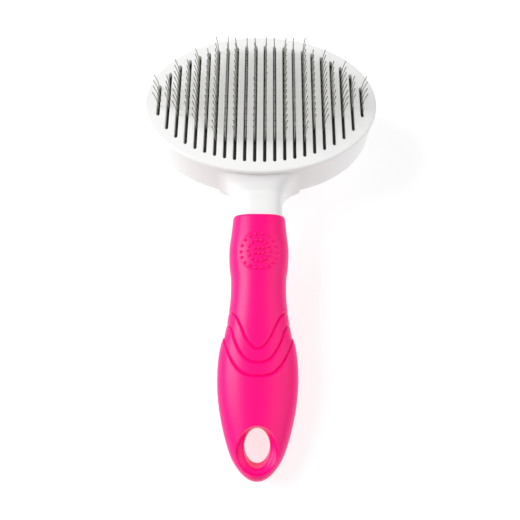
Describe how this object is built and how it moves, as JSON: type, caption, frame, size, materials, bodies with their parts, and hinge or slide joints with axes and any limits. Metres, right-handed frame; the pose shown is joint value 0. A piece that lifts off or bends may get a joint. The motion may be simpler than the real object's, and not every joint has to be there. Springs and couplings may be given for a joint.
{
  "type": "slicker brush",
  "caption": "Self-cleaning slicker brush: oval head with a slotted plate over bent wire pins, a push button behind it, and a soft handle with a hang hole.",
  "frame": {"origin": "on the surface the brush lies on, pins up, under the middle of its length and width", "axes": "+X across the head, +Y from the handle's tip to the top of the head, +Z out of the pins"},
  "size_m": [0.106, 0.2, 0.0515],
  "materials": {
    "white_abs": "moulded white ABS, satin gloss",
    "button_abs": "moulded pink ABS, satin gloss",
    "dark_plastic": "moulded dark polypropylene",
    "inner_plastic": "moulded natural acetal",
    "pin_steel": "drawn stainless wire",
    "spring_steel": "coiled spring wire",
    "screw_steel": "zinc-plated steel",
    "grip_rubber": "over-moulded soft rubber, fine matt grain"
  },
  "bodies": {
    "brush": {"front_housing": "white_abs", "rear_cover": "white_abs", "pin_carrier": "dark_plastic", "pin_backing": "dark_plastic", "pin_staples_01": "pin_steel", "pin_staples_02": "pin_steel", "pin_staples_03": "pin_steel", "pin_staples_04": "pin_steel", "pin_staples_05": "pin_steel", "pin_staples_06": "pin_steel", "pin_staples_07": "pin_steel", "pin_staples_08": "pin_steel", "pin_staples_09": "pin_steel", "pin_staples_10": "pin_steel", "pin_staples_11": "pin_steel", "return_spring_left": "spring_steel", "return_spring_right": "spring_steel", "carrier_screws": "screw_steel", "cover_screws": "screw_steel", "grip_sleeve": "grip_rubber"},
    "stripper": {"face_plate": "white_abs", "pusher_frame": "inner_plastic", "frame_screws": "screw_steel", "push_button": "button_abs"}
  },
  "joints": [
    {"name": "plate_push", "type": "slide", "parent": "brush", "child": "stripper", "axis": [0, 0, 1], "range_m": [0, 0.0105], "stiffness_N_per_m": 1200, "springref_m": -0.004, "deforming": ["return_spring_left", "return_spring_right"]}
  ]
}
